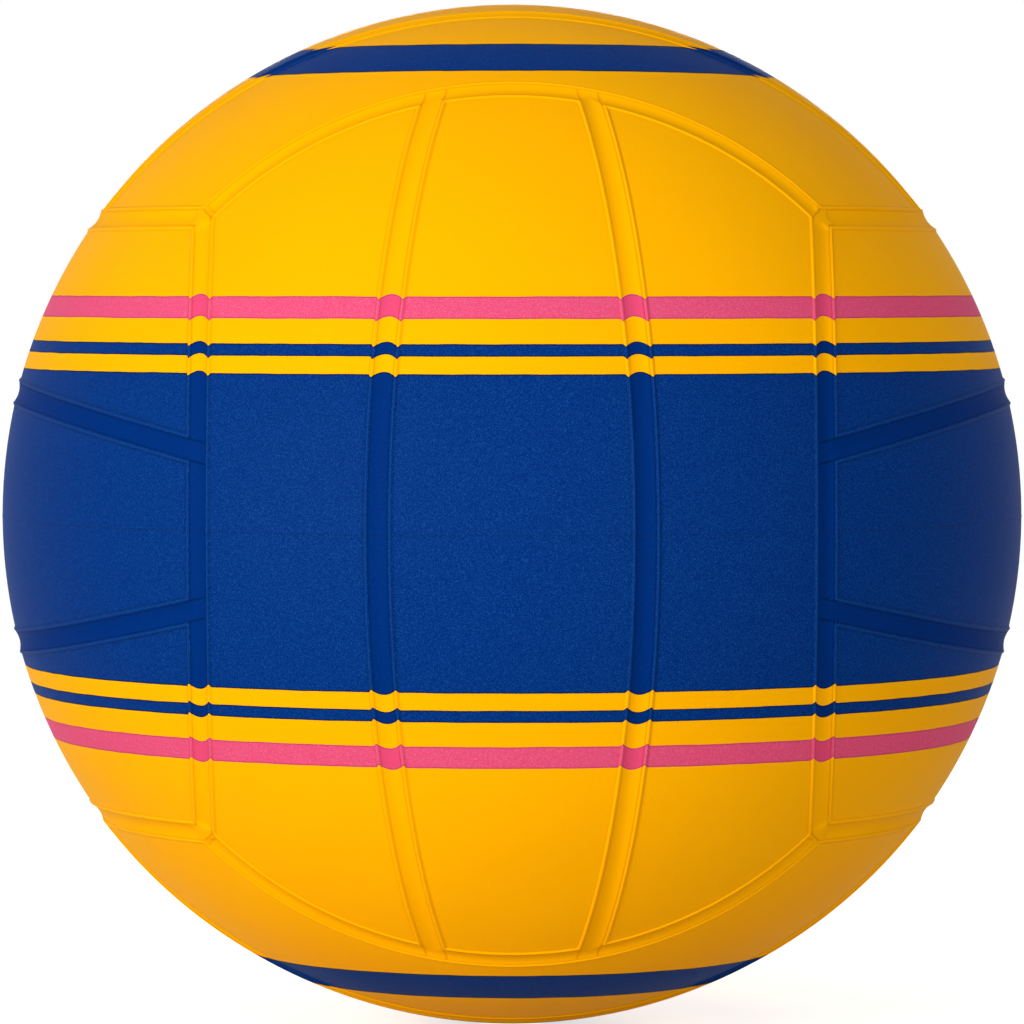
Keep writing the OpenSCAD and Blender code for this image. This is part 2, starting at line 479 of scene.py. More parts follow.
def printed_rubber(name, grain_rise_mm, glint_share, shine, foot_mm):
    """Natural rubber with printed bands. The grain's rise sets how dry and matte it looks."""
    material, tree, shader, place = blank(name)
    relief = add(tree, "ShaderNodeAttribute", attribute_name="relief").outputs["Fac"]

    grit, grain = grained(tree, place)
    # Light flecks and crests: painted glints and highlights, with some wear
    wear_highlight, pale = wear_and_painted_glints(tree, grain, relief, glint_share)
    height_mm, carried = heights(tree, place, relief)
    colour = coloured_through(tree, place, wear_highlight)
    colour = printed(tree, colour, carried, pale)
    # Painted shade along the mould line and the foot of each lip
    colour = painted_shade(tree, colour, height_mm, foot_mm)
    tree.links.new(colour, shader.inputs["Base Color"])

    gloss = add(
        tree, "ShaderNodeMapRange",
        {
            "Value": grit, "From Min": GRIT_FROM, "From Max": GRIT_TO,
            "To Min": SMOOTHEST, "To Max": ROUGHEST,
        },
    )
    tree.links.new(gloss.outputs[0], shader.inputs["Roughness"])
    bump = add(
        tree, "ShaderNodeBump", {"Strength": 1.0, "Distance": grain_rise_mm * MM, "Height": grain}
    )
    tree.links.new(bump.outputs["Normal"], shader.inputs["Normal"])
    # The hollows of the grain swallow most reflections
    shader.inputs["Specular IOR Level"].default_value = shine
    shader.inputs["IOR"].default_value = RUBBER_IOR
    return material


panel_rubber = printed_rubber(
    "Natural rubber, printed and grit-moulded",
    grain_rise_mm=0.06, glint_share=0.6, shine=0.012, foot_mm=1.0,
)
seam_rubber = printed_rubber(
    "Natural rubber, printed and smooth-moulded",
    grain_rise_mm=0.012, glint_share=0.12, shine=0.006, foot_mm=0.1,
)
print("Materials:", panel_rubber.name, "and", seam_rubber.name)

# %% [markdown]
# ## Moulding a sheet with Geometry Nodes
# All eighteen panels have the same rounded lip along their edges, and all the strips the same
# crease, so the shape follows a rule. A tree can apply it to any sheet: it finds the open edges,
# measures how far each point is from the nearest one, and lifts the point by a section curve of
# that distance. The lip then turns round every corner, and round the valve's hole, without being
# drawn. The sheet is thickened first, so that the piece is a closed solid of rubber.

# %% Distance from the open edges
# An edge takes the mean of its two ends, so it is flush only where both of them are
FLUSH_FROM = 0.75


def mark_edges(tree, flat):
    """Stores how far each point is from the edges, but for those flush with the next piece."""
    faces_beside = add(tree, "GeometryNodeInputMeshEdgeNeighbors")
    is_open = add(
        tree, "FunctionNodeCompare",
        {2: faces_beside.outputs[0], 3: 1}, data_type="INT", operation="EQUAL",
    )
    flush = add(tree, "GeometryNodeInputNamedAttribute", {"Name": "flush"}, data_type="FLOAT")
    ends_here = add(
        tree, "FunctionNodeCompare", {0: flush.outputs[0], 1: FLUSH_FROM}, operation="LESS_THAN"
    )
    shows = add(
        tree, "FunctionNodeBooleanMath",
        {0: is_open.outputs[0], 1: ends_here.outputs[0]}, operation="AND",
    )
    rim = add(
        tree, "GeometryNodeSeparateGeometry",
        {"Geometry": flat, "Selection": shows.outputs[0]}, domain="EDGE",
    )
    reach = add(
        tree, "GeometryNodeProximity",
        {"Geometry": rim.outputs["Selection"]}, target_element="EDGES",
    )
    return add(
        tree, "GeometryNodeStoreNamedAttribute",
        {"Geometry": flat, "Name": "edge", "Value": reach.outputs["Distance"]},
        data_type="FLOAT", domain="POINT",
    ).outputs[0]


print("An edge is flush from", FLUSH_FROM, "up")

# %% Lift of the face
def lift_by(tree, given, section):
    """How far the face is lifted: by the section curve, the channel's floor and the mould line."""
    edge = add(tree, "GeometryNodeInputNamedAttribute", {"Name": "edge"}, data_type="FLOAT")
    floor = add(tree, "GeometryNodeInputNamedAttribute", {"Name": "floor"}, data_type="FLOAT")
    share = add(
        tree, "ShaderNodeMath", {0: edge.outputs[0], 1: given["Edge Width"]}, operation="DIVIDE"
    )
    curve = add(tree, "ShaderNodeFloatCurve", {"Value": share.outputs[0]})
    curve.mapping.use_clip = False
    curve.mapping.extend = "HORIZONTAL"
    points = curve.mapping.curves[0].points
    points[0].location, points[1].location = section[0], section[-1]
    for at in section[1:-1]:
        points.new(*at)
    curve.mapping.update()
    lip = add(
        tree, "ShaderNodeMath",
        {0: curve.outputs[0], 1: given["Edge Height"], 2: floor.outputs[0]},
        operation="MULTIPLY_ADD",
    )
    position = add(tree, "GeometryNodeInputPosition")
    height = add(tree, "ShaderNodeSeparateXYZ", {"Vector": position.outputs[0]})
    from_line = add(tree, "ShaderNodeMath", {0: height.outputs["Z"]}, operation="ABSOLUTE")
    ridge = add(
        tree, "ShaderNodeMapRange",
        {
            "Value": from_line.outputs[0], "From Max": given["Parting Width"],
            "To Min": given["Parting Height"], "To Max": 0.0,
        },
        interpolation_type="SMOOTHSTEP",
    )
    return add(
        tree, "ShaderNodeMath", {0: lip.outputs[0], 1: ridge.outputs[0]}, operation="ADD"
    ).outputs[0]


# Sections from the edge inwards: share of the width, and share of the height
LIP_SECTION = [
    (0, 0.4), (0.18, 0.68), (0.365, 1.0), (0.53, 0.78), (0.66, 0.42), (0.79, 0.13), (1, 0)
]
CREASE_SECTION = [(0, -1), (0.3, -0.1), (0.55, 0.2), (1, 0)]
print("The lip is drawn by", len(LIP_SECTION), "points and the crease by", len(CREASE_SECTION))

# %% The moulding tree
SIZES = ("Face Radius", "Edge Width", "Edge Height", "Parting Width", "Parting Height")
MERGE_WITHIN = 0.001 * MM


def moulding(name, section):
    """A tree that thickens a sheet and lifts its face by a section curve along its open edges."""
    tree = bpy.data.node_groups.new(name, "GeometryNodeTree")
    tree.interface.new_socket("Sheet", in_out="INPUT", socket_type="NodeSocketGeometry")
    for size in SIZES:
        tree.interface.new_socket(size, in_out="INPUT", socket_type="NodeSocketFloat")
    tree.interface.new_socket("Rubber", in_out="INPUT", socket_type="NodeSocketMaterial")
    tree.interface.new_socket("Piece", in_out="OUTPUT", socket_type="NodeSocketGeometry")
    given = add(tree, "NodeGroupInput").outputs
    marked = mark_edges(tree, given["Sheet"])
    lift = lift_by(tree, given, section)

    # A solid: the sheet is the underside, and its extruded copy is moved to the lifted face
    raised = add(
        tree, "GeometryNodeExtrudeMesh",
        {"Mesh": marked, "Offset Scale": PANEL_T, "Individual": False},
    )
    radius = add(tree, "ShaderNodeMath", {0: lift, 1: given["Face Radius"]}, operation="ADD")
    position = add(tree, "GeometryNodeInputPosition")
    outwards = add(tree, "ShaderNodeVectorMath", {0: position.outputs[0]}, operation="NORMALIZE")
    on_face = add(
        tree, "ShaderNodeVectorMath",
        {0: outwards.outputs[0], "Scale": radius.outputs[0]}, operation="SCALE",
    )
    face = add(
        tree, "GeometryNodeSetPosition",
        {
            "Geometry": raised.outputs["Mesh"], "Selection": raised.outputs["Top"],
            "Position": on_face.outputs[0],
        },
    )
    underside = add(tree, "GeometryNodeFlipFaces", {"Mesh": marked})
    both = add(tree, "GeometryNodeJoinGeometry", {"Geometry": face.outputs[0]})
    tree.links.new(underside.outputs[0], both.inputs["Geometry"])
    solid = add(
        tree, "GeometryNodeMergeByDistance", {"Geometry": both.outputs[0], "Distance": MERGE_WITHIN}
    )

    # The relief in millimetres, for the ink to read
    in_mm = add(tree, "ShaderNodeMath", {0: lift, 1: 1 / MM}, operation="MULTIPLY")
    noted = add(
        tree, "GeometryNodeStoreNamedAttribute",
        {"Geometry": solid.outputs[0], "Name": "relief", "Value": in_mm.outputs[0]},
        data_type="FLOAT", domain="POINT",
    )
    real = add(tree, "GeometryNodeRealizeInstances", {"Geometry": noted.outputs[0]})
    dressed = add(
        tree, "GeometryNodeSetMaterial",
        {"Geometry": real.outputs[0], "Material": given["Rubber"]},
    )
    add(tree, "NodeGroupOutput", {"Piece": dressed.outputs[0]})
    return tree


panel_moulding = moulding("Panel with a rounded lip", LIP_SECTION)
strip_moulding = moulding("Strip with a creased edge", CREASE_SECTION)
print("Trees:", panel_moulding.name, "and", strip_moulding.name)

# %% Running a tree over a sheet
PARTING_H = 0.06 * MM
LIP = {"Edge Width": 1.15 * MM, "Edge Height": 0.32 * MM}
CREASE = {"Edge Width": 0.5 * MM, "Edge Height": 0.03 * MM}
# Faces that meet at more than this angle keep a sharp edge between them
SHARP_ANGLE = math.radians(50)


def flat_mesh(name, patches):
    """A mesh of patches, each with its points, faces, floor and flush ends, at the underside."""
    vertices, faces, floors, ends, count = [], [], [], [], 0
    for points, quads, floor, flush in patches:
        points = points.reshape(-1, 3)
        a, b, c = (points[quads[0, i]] for i in range(3))
        if np.cross(b - a, c - a) @ a < 0:
            quads = quads[:, ::-1]
        vertices.append(points * (BALL_R - PANEL_T) / BALL_R)
        faces.append(quads + count)
        floors.append(floor.ravel())
        ends.append(flush.ravel())
        count += len(points)
    mesh = bpy.data.meshes.new(name)
    mesh.from_pydata(np.concatenate(vertices), [], np.concatenate(faces).tolist())
    for label, values in (("floor", floors), ("flush", ends)):
        attribute = mesh.attributes.new(label, "FLOAT", "POINT")
        attribute.data.foreach_set("value", np.concatenate(values))
    return mesh


def mould(name, patches, tree, rubber, edge):
    """A piece moulded from patches by a tree, with the sizes of its edge."""
    piece = bpy.data.objects.new(name, flat_mesh(name, patches))
    scene.collection.objects.link(piece)
    modifier = piece.modifiers.new("Moulding", "NODES")
    modifier.node_group = tree
    inputs = {
        "Face Radius": BALL_R, "Parting Width": PARTING_W, "Parting Height": PARTING_H,
        "Rubber": rubber, **edge,
    }
    for socket in tree.interface.items_tree:
        if socket.in_out == "INPUT" and socket.name in inputs:
            modifier[socket.identifier] = inputs[socket.name]
    evaluated = piece.evaluated_get(bpy.context.evaluated_depsgraph_get())
    finished = bpy.data.meshes.new_from_object(evaluated)
    piece.modifiers.clear()
    piece.data = finished
    finished.shade_smooth()
    finished.set_sharp_from_angle(angle=SHARP_ANGLE)
    return piece


def hand_over(piece, node, body="ball"):
    """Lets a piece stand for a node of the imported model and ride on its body."""
    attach(piece, body)
    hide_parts(node)


print("Lip", LIP["Edge Height"] / MM, "mm high, crease", CREASE["Edge Height"] / MM, "mm deep")

# %% [markdown]
# ## The eighteen panels
# Each panel is a thick sheet of grained rubber with a rounded lip where it was pressed against the
# channel's edge of the mould. The middle panel of a group lies between the two inner seams, and the
# outer ones reach to the next group. The middle panel at the back also has the hole for the valve.
# A round hole in a square grid is made by easing the square rings of lines around it into circles,
# so the lip can run round it as it does round the edges.

# %% The valve's hole
HOLE_R = 5.05 * MM
# Where the rings of lines are square again
HOLE_BLEND = 15 * MM
RINGS, LINES_ACROSS_HOLE = 15, 17
ring_lines = HOLE_R + np.concatenate([[0], np.cumsum(FINEST * GROWTH ** np.arange(RINGS))])
across_hole = np.linspace(-HOLE_R, HOLE_R, LINES_ACROSS_HOLE)
HOLE_LINES = np.concatenate([-ring_lines, across_hole, PARTING_LINES, ring_lines])
HOLE_LINES = np.unique(HOLE_LINES.round(6))


def smooth(share):
    """A share from 0 to 1 that starts and ends softly."""
    return share * share * (3 - 2 * share)


def open_hole(points):
    """Eases a grid's square rings about +Y into circles, and leaves out the faces in the hole."""
    x, z = points[..., 0], points[..., 2]
    ring, radius = np.maximum(abs(x), abs(z)), np.hypot(x, z)
    share = np.clip((ring - HOLE_R) / (HOLE_BLEND - HOLE_R), 0, 1)
    to_circle = np.where(radius > 0, ring / np.maximum(radius, FINEST), 1)
    ease = to_circle + (1 - to_circle) * smooth(share)
    x, z = x * ease, z * ease
    points = np.stack([x, np.sqrt(BALL_R**2 - x * x - z * z), z], axis=-1)
    faces = grid_faces(points)
    inside = ring.ravel()[faces].max(axis=1) < HOLE_R + FINEST / 2
    used, faces = np.unique(faces[~inside], return_inverse=True)
    return points.reshape(-1, 3)[used], faces.reshape(-1, 4)


print(len(HOLE_LINES), "lines each way about the valve")

# %% Panels
PANEL_STEP = 3 * MM
CORNER_R = 0.5 * MM


def panel_grid(place, middles):
    """The grid of one panel of the group that faces +Y."""
    end = [border_plane(-CHANNEL_HALF)]
    if place == 0:
        left, right = seam_plane(-1, -CHANNEL_HALF), seam_plane(1, -CHANNEL_HALF)
    else:
        left, right = seam_plane(place, CHANNEL_HALF), border_plane(CHANNEL_HALF, (place, 0, 0))
    return sheet(left, right, end, end, (-UP, UP), PANEL_STEP, CORNER_R, middles)


panels = []
for pair in range(3):
    for side in SIDES:
        for place in (-1, 0, 1):
            node = f"{GROUPS[pair][side > 0]}_{PLACES[pair][place + 1]}_panel"
            has_valve = node == "back_middle_panel"
            middle = HOLE_LINES if has_valve else PARTING_LINES
            points = panel_grid(place, (middle, middle))
            points, faces = open_hole(points) if has_valve else (points, grid_faces(points))
            level = np.zeros(points.shape[:-1])
            patch = to_group(points, pair, side), faces, level, level
            piece = mould(f"{node}_moulded", [patch], panel_moulding, panel_rubber, LIP)
            hand_over(piece, node)
            panels.append(piece)
print(len(panels), "panels with", sum(len(p.data.polygons) for p in panels), "faces")

# %% [markdown]
# ## The strips in the channels
# Between the panels the channel's floor is a separate strip of smoother rubber, hollow across its
# width. An inner strip runs the length of a group and on across the border channel, where its two
# edges show as fine creases. A border strip lies between two groups, and the inner strips cut it
# into three lengths. At each corner of the cube three border channels meet. Their floors rise there
# in a rounded scoop to a small pad between the panels' corners. The upright strips hold the pads,
# the strips that run from front to back join them flush, and those from left to right end in a
# crease.

# %% Inner strips
STRIP_STEP = 2 * MM
# A channel is one smooth trough from the crest of a lip to the crest of the next
CREST_AT = CHANNEL_HALF + 0.42 * MM
FLOOR = -0.3 * MM


def hollow(distance):
    """Floor of a channel at a distance from its middle, measured from the face of the ball."""
    share = np.minimum(abs(distance), STRIP_HALF) / CREST_AT
    return FLOOR + (LIP["Edge Height"] - FLOOR) * share * share


def from_border(points):
    """Distance outwards from the middle of the border channel about +Y."""
    return BALL_R * (np.arccos(points[..., 1] / BALL_R) - BORDER_ANGLE)


def inner_strip(place):
    """The strip beside the middle panel: past the border's middle it takes the border's floor."""
    left, right = seam_plane(place, -STRIP_HALF), seam_plane(place, STRIP_HALF)
    end = [border_plane(STRIP_HALF)]
    points = sheet(left, right, end, end, (-UP, UP), STRIP_STEP)
    across, outwards = points @ seam_plane(place, 0)[0], from_border(points)
    crossing = hollow(outwards)
    return points, np.where(outwards > 0, crossing, np.minimum(hollow(across), crossing))


print("A strip's edge lies", round(float(hollow(STRIP_HALF)) / MM, 2), "mm over the panels' faces")

# %% Corners of the border strips
LEFT_TO_RIGHT, FRONT_TO_BACK, UPRIGHT = range(3)
# The pad: from its middle to its three sides, its height, and the length of the scoops beside it
PAD_IN = CHANNEL_HALF / math.sqrt(3)
PAD_RISE = 0.25 * MM
SCOOP = {LEFT_TO_RIGHT: 1.6 * MM, FRONT_TO_BACK: 2.2 * MM, UPRIGHT: 1.6 * MM}
# A scoop is longer at the sides of the channel, which makes its end round
SCOOP_FLARE = 1.5


def ways_from(corner):
    """Directions of a strip and its neighbours from the corner at its left (-1) or right (1)."""
    return (-corner, 0, 1), (0, 1, -1), (corner, -1, 0)


def corner_end(corner, pair):
    """The planes that end a border strip at a corner."""
    own, flush, creased = ways_from(corner)
    if pair == UPRIGHT:
        return [plane(*flush, PAD_IN), plane(*creased, PAD_IN - BOND)]
    return [plane(*own, PAD_IN)]


def border_floor(points, pair):
    """Floor of the border channel with its scoops and pads. Its corners are alike: one is made."""
    left = points * (-np.sign(points[..., :1]) * (1, 0, 0) + (0, 1, 1))
    along = np.stack([left @ plane(*way, 0)[0] for way in ways_from(-1)])
    reach = along.max(axis=0)
    off_line = np.sqrt(np.maximum(2 / 3 * (along**2).sum(axis=0) - reach**2, 0))
    across = np.where(along[0] < reach, off_line, from_border(points))
    side = np.minimum(abs(across) / STRIP_HALF, 1)
    rise = (1 - (reach - PAD_IN) / SCOOP[pair]) * (1 + SCOOP_FLARE * side * side)
    return hollow(across) + smooth(np.clip(rise, 0, 1)) * (PAD_RISE - hollow(across))


print("Pads", round(2 * PAD_IN / MM, 1), "mm across, and scoops", sorted(SCOOP.values()), "m long")

# %% Border strips
def border_strip(pair):
    """The three lengths of a strip above the group that faces +Y, with floors and flush ends."""
    near, far = border_plane(-STRIP_HALF), border_plane(STRIP_HALF)
    cuts = (
        (-1, corner_end(-1, pair), [seam_plane(-1, CHANNEL_HALF)]),
        (0, [seam_plane(-1, -CHANNEL_HALF)], [seam_plane(1, -CHANNEL_HALF)]),
        (1, [seam_plane(1, CHANNEL_HALF)], corner_end(1, pair)),
    )
    for corner, start, end in cuts:
        towards = np.array([corner, 0, 1])
        points = sheet(near, far, start, end, (towards, towards), STRIP_STEP)
        flush = np.zeros(points.shape[:-1])
        if corner:
            # An upright strip is flush on one half of its end, up to the tip of its pad
            columns = flush.shape[1]
            flush_to = {LEFT_TO_RIGHT: 0, FRONT_TO_BACK: columns, UPRIGHT: columns // 2 + 1}[pair]
            flush[0 if corner < 0 else -1, :flush_to] = 1
        yield points, border_floor(points, pair), flush


print("Grids of an upright strip:", [points.shape[:2] for points, *_ in border_strip(UPRIGHT)])

# %% All the strips
strips = []
for pair in range(3):
    for side in SIDES:
        for place in SIDES:
            node = f"{GROUPS[pair][side > 0]}_{PLACES[pair][place + 1]}_seam"
            points, floor = inner_strip(place)
            patch = to_group(points, pair, side), grid_faces(points), floor, np.zeros_like(floor)
            strips.append(mould(f"{node}_moulded", [patch], strip_moulding, seam_rubber, CREASE))
            hand_over(strips[-1], node)
        for end in SIDES:
            node = f"{GROUPS[pair][side > 0]}_to_{GROUPS[(pair + 1) % 3][end > 0]}_seam"
            patches = [
                (to_group(points * (1, 1, end), pair, side), grid_faces(points), floor, flush)
                for points, floor, flush in border_strip(pair)
            ]
            strips.append(mould(f"{node}_moulded", patches, strip_moulding, seam_rubber, CREASE))
            hand_over(strips[-1], node)
print(len(strips), "strips with", sum(len(s.data.polygons) for s in strips), "faces")

# %% [markdown]
# ## Rubber, thread and butyl inside
# Under the cover are a thin tan coat of gum rubber, a winding of nylon thread that keeps the ball
# round, and the butyl bladder. Their bare solids already have the right shape, so they only get
# materials. The coat was rolled on a calender, which leaves a fine, even grain. The thread lies in
# great circles in every direction. The bladder is dusted with talc.

# %% Plain rubber
# Noise between which a patch goes from clean to dusty, and how much duller the dust is
BLOOM_FROM, BLOOM_TO, BLOOM_DULLS = 0.45, 0.75, 0.25
LAYER_GRAIN_RISE = 0.03 * MM


def layer_rubber(name, colour, bloom, bloom_mm, grain_mm, roughness):
    """Plain rubber with a pale bloom or dusting in patches, and a fine moulded grain."""
    material, tree, shader, place = blank(name)
    patches = add(
        tree, "ShaderNodeTexNoise",
        {"Vector": place, "Scale": 1 / (bloom_mm * MM), "Detail": 4.0},
    )
    dusty = add(
        tree, "ShaderNodeMapRange",
        {"Value": patches.outputs["Fac"], "From Min": BLOOM_FROM, "From Max": BLOOM_TO},
    )
    shade = add(
        tree, "ShaderNodeMix",
        {"Factor": dusty.outputs[0], "A": linear(colour), "B": linear(bloom)}, data_type="RGBA",
    )
    tree.links.new(shade.outputs["Result"], shader.inputs["Base Color"])
    gloss = add(
        tree, "ShaderNodeMapRange",
        {"Value": dusty.outputs[0], "To Min": roughness, "To Max": roughness + BLOOM_DULLS},
    )
    tree.links.new(gloss.outputs[0], shader.inputs["Roughness"])
    grain = add(
        tree, "ShaderNodeTexNoise",
        {"Vector": place, "Scale": 1 / (grain_mm * MM), "Detail": 2.0},
    )
    bump = add(
        tree, "ShaderNodeBump",
        {"Strength": 0.6, "Distance": LAYER_GRAIN_RISE, "Height": grain.outputs["Fac"]},
    )
    tree.links.new(bump.outputs["Normal"], shader.inputs["Normal"])
    return material


coat = layer_rubber(
    "Natural gum rubber, calendered coat",
    colour="#A8761F", bloom="#B98A3C", bloom_mm=25, grain_mm=0.6, roughness=0.6,
)
butyl = layer_rubber(
    "Butyl rubber, dusted with talc",
    colour="#151515", bloom="#5A5854", bloom_mm=18, grain_mm=0.8, roughness=0.4,
)
print("Materials:", coat.name, "and", butyl.name)

# %% Wound thread, and the three layers
THREAD_DARK, THREAD_PALE = "#8C8A80", "#E9E6DA"
# Drawn at about twice its real width, so that it shows
THREAD_MM = 0.8
THREAD_RISE = 0.2 * MM
# A wave of the wave texture is 0.314 units long at scale 1
THREAD_SCALE = 0.314 / (THREAD_MM * MM)
# Three ways in which the thread runs, as turns about X, Y and Z in radians
WAYS = ((0.3, 0.1, 0.0), (1.2, 0.8, 0.4), (0.2, 1.4, 0.9))


def wound_thread(name):
    """Nylon thread wound in three directions."""
    material, tree, shader, place = blank(name)
    height = None
    for way in WAYS:
        turned = add(tree, "ShaderNodeMapping", {"Vector": place, "Rotation": way})
        waves = add(
            tree, "ShaderNodeTexWave",
            {"Vector": turned.outputs[0], "Scale": THREAD_SCALE, "Distortion": 0.6},
        ).outputs["Fac"]
        height = waves if height is None else add(
            tree, "ShaderNodeMath", {0: height, 1: waves}, operation="MAXIMUM"
        ).outputs[0]
    shade = add(
        tree, "ShaderNodeMix",
        {"Factor": height, "A": linear(THREAD_DARK), "B": linear(THREAD_PALE)}, data_type="RGBA",
    )
    tree.links.new(shade.outputs["Result"], shader.inputs["Base Color"])
    bump = add(
        tree, "ShaderNodeBump", {"Strength": 0.8, "Distance": THREAD_RISE, "Height": height}
    )
    tree.links.new(bump.outputs["Normal"], shader.inputs["Normal"])
    shader.inputs["Roughness"].default_value = 0.45
    return material


layers = {"carcass": coat, "winding": wound_thread("Nylon thread, wound"), "bladder": butyl}
for node, material in layers.items():
    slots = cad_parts[node].data.materials
    slots.clear()
    slots.append(material)
print("Inner layers:", {node: material.name for node, material in layers.items()})

# %% [markdown]
# ## The valve
# A butyl barrel with a flange is bonded into the bladder, and a soft plug with a needle hole is
# pushed into it. Both are turned shapes, so each is an outline spun about the valve's axis. Real
# moulded rubber has no sharp edge, so every corner of the outline is eased before it is spun.

# %% Turning an outline
SPIN_STEPS = 72
SAME_POINT = 0.002 * MM


def eased(outline, radius, closed, steps=4):
    """An outline with each corner rounded off, by no more than a third of its shorter side."""
    points = [np.array(p) for p in outline]
    out = []
    for i, here in enumerate(points):
        before, after = points[i - 1], points[(i + 1) % len(points)]
        if not closed and i in (0, len(points) - 1):
            out.append(here)
            continue
        back, on = before - here, after - here
        cut = min(radius, np.linalg.norm(back) / 3, np.linalg.norm(on) / 3)
        start = here + back / np.linalg.norm(back) * cut
        end = here + on / np.linalg.norm(on) * cut
        for t in np.linspace(0, 1, steps + 1):
            out.append((1 - t) ** 2 * start + 2 * t * (1 - t) * here + t * t * end)
    return out


def turned(name, outline, closed, material):
    """An outline of radius and place along +Y, spun to a solid about that axis."""
    mesh = bpy.data.meshes.new(name)
    shape = bmesh.new()
    ring = [shape.verts.new((r, y, 0)) for r, y in outline]
    pairs = zip(ring, ring[1:] + ring[:1]) if closed else zip(ring, ring[1:])
    edges = [shape.edges.new(pair) for pair in pairs]
    bmesh.ops.spin(
        shape, geom=ring + edges, axis=(0, 1, 0), cent=(0, 0, 0),
        angle=math.tau, steps=SPIN_STEPS, use_merge=True,
    )
    bmesh.ops.remove_doubles(shape, verts=shape.verts, dist=SAME_POINT)
    bmesh.ops.recalc_face_normals(shape, faces=shape.faces)
    shape.to_mesh(mesh)
    shape.free()
    mesh.materials.append(material)
    mesh.shade_smooth()
    mesh.set_sharp_from_angle(angle=SHARP_ANGLE)
    piece = bpy.data.objects.new(name, mesh)
    scene.collection.objects.link(piece)
    return piece


print("Turned in", SPIN_STEPS, "steps")

# %% Outlines of the barrel and the core
BARREL_R, BARREL_TOP, BARREL_BOTTOM = 5 * MM, BALL_R - 0.2 * MM, BALL_R - 15.7 * MM
# The flange is a piece of a sphere: its own radius, that sphere's, and its thickness
FLANGE_R, FLANGE_OUT, FLANGE_T = 14 * MM, 107.15 * MM, 1.2 * MM
FLANGE_POINTS = 7
HEAD_R, STEM_R, NEEDLE_R, FUNNEL_R = 3.6 * MM, 2.6 * MM, 1.0 * MM, 1.5 * MM
PLAY = 0.05 * MM
CORE_TOP = BARREL_TOP - 0.1 * MM
CORE_SEAT, CORE_BOTTOM = CORE_TOP - 2.6 * MM, BARREL_BOTTOM + BOND
NEEDLE_TOP = CORE_TOP - 0.4 * MM
NEEDLE_BOTTOM = NEEDLE_TOP - 10 * MM
# The core's face is dished, with a low ring round the funnel that leads the needle in
RING_R, DISH_IN_R, DISH_OUT_R, BRIM_R = 1.9 * MM, 2.2 * MM, 2.9 * MM, 3.1 * MM
DISH_FLOOR = CORE_TOP - 0.25 * MM


def flange_arc(radius, start, end):
    """Points of a sphere about the ball's centre, from one distance from the axis to another."""
    return [(r, math.sqrt(radius**2 - r * r)) for r in np.linspace(start, end, FLANGE_POINTS)]


barrel_outline = [
    (HEAD_R + PLAY, CORE_SEAT - PLAY), (HEAD_R + PLAY, BARREL_TOP), (BARREL_R, BARREL_TOP),
    *flange_arc(FLANGE_OUT, BARREL_R, FLANGE_R),
    *flange_arc(FLANGE_OUT - FLANGE_T, FLANGE_R, BARREL_R),
    (BARREL_R, BARREL_BOTTOM), (STEM_R + PLAY, BARREL_BOTTOM), (STEM_R + PLAY, CORE_SEAT - PLAY),
]
core_outline = [
    (0, NEEDLE_BOTTOM), (NEEDLE_R, NEEDLE_BOTTOM), (NEEDLE_R, NEEDLE_TOP), (FUNNEL_R, CORE_TOP),
    (RING_R, CORE_TOP), (DISH_IN_R, DISH_FLOOR), (DISH_OUT_R, DISH_FLOOR), (BRIM_R, CORE_TOP),
    (HEAD_R, CORE_TOP), (HEAD_R, CORE_SEAT), (STEM_R, CORE_SEAT), (STEM_R, CORE_BOTTOM),
    (0, CORE_BOTTOM),
]
print("Outlines of", len(barrel_outline), "and", len(core_outline), "points")

# %% Barrel and core
BARREL_EASE, CORE_EASE = 0.25 * MM, 0.2 * MM
barrel = turned(
    "valve_housing_moulded", eased(barrel_outline, BARREL_EASE, True), True,
    layer_rubber(
        "Butyl rubber, moulded",
        colour="#1B1B1D", bloom="#2E2E30", bloom_mm=6, grain_mm=0.4, roughness=0.45,
    ),
)
hand_over(barrel, "valve_housing")
core = turned(
    "valve_core_moulded", eased(core_outline, CORE_EASE, False), False,
    layer_rubber(
        "Natural rubber, soft-moulded",
        colour="#0F0F10", bloom="#26262A", bloom_mm=5, grain_mm=0.3, roughness=0.38,
    ),
)
hand_over(core, "valve_core", "valve_core")
print("Valve:", len(barrel.data.polygons), "and", len(core.data.polygons), "faces")

# %% [markdown]
# ## Studio
# The ball was photographed from just above its middle, from about six diameters away, against plain
# white. A soft lamp stands to the left, a larger one in front on the right, and a third behind the
# ball lights its back. The white room fills in the rest. What the camera and reflections see of the
# room is plain white, but less light than that falls on the ball, so that its colours stay as they
# are written.

# %% White room
ROOM_LIGHT = 0.4


def seen_directly(tree):
    """1 for what is seen, also in reflections and glass, and 0 for light that falls on things."""
    path = add(tree, "ShaderNodeLightPath").outputs
    seen = add(
        tree, "ShaderNodeMath",
        {0: path["Is Camera Ray"], 1: path["Is Glossy Ray"]}, operation="MAXIMUM",
    )
    return add(
        tree, "ShaderNodeMath",
        {0: seen.outputs[0], 1: path["Is Transmission Ray"]}, operation="MAXIMUM",
    ).outputs[0]


room = bpy.data.worlds.new("White room")
room.use_nodes = True
scene.world = room
strength = add(
    room.node_tree, "ShaderNodeMapRange",
    {"Value": seen_directly(room.node_tree), "To Min": ROOM_LIGHT, "To Max": 1.0},
)
sky = room.node_tree.nodes["Background"]
sky.inputs["Color"].default_value = (1, 1, 1, 1)
room.node_tree.links.new(strength.outputs[0], sky.inputs["Strength"])
print("The room gives", ROOM_LIGHT, "of the light that it shows")

# %% Paper of the floor
# The lamps leave the paper half white. A glow that is seen but lights nothing does the rest.
PAPER_GLOW = 0.66
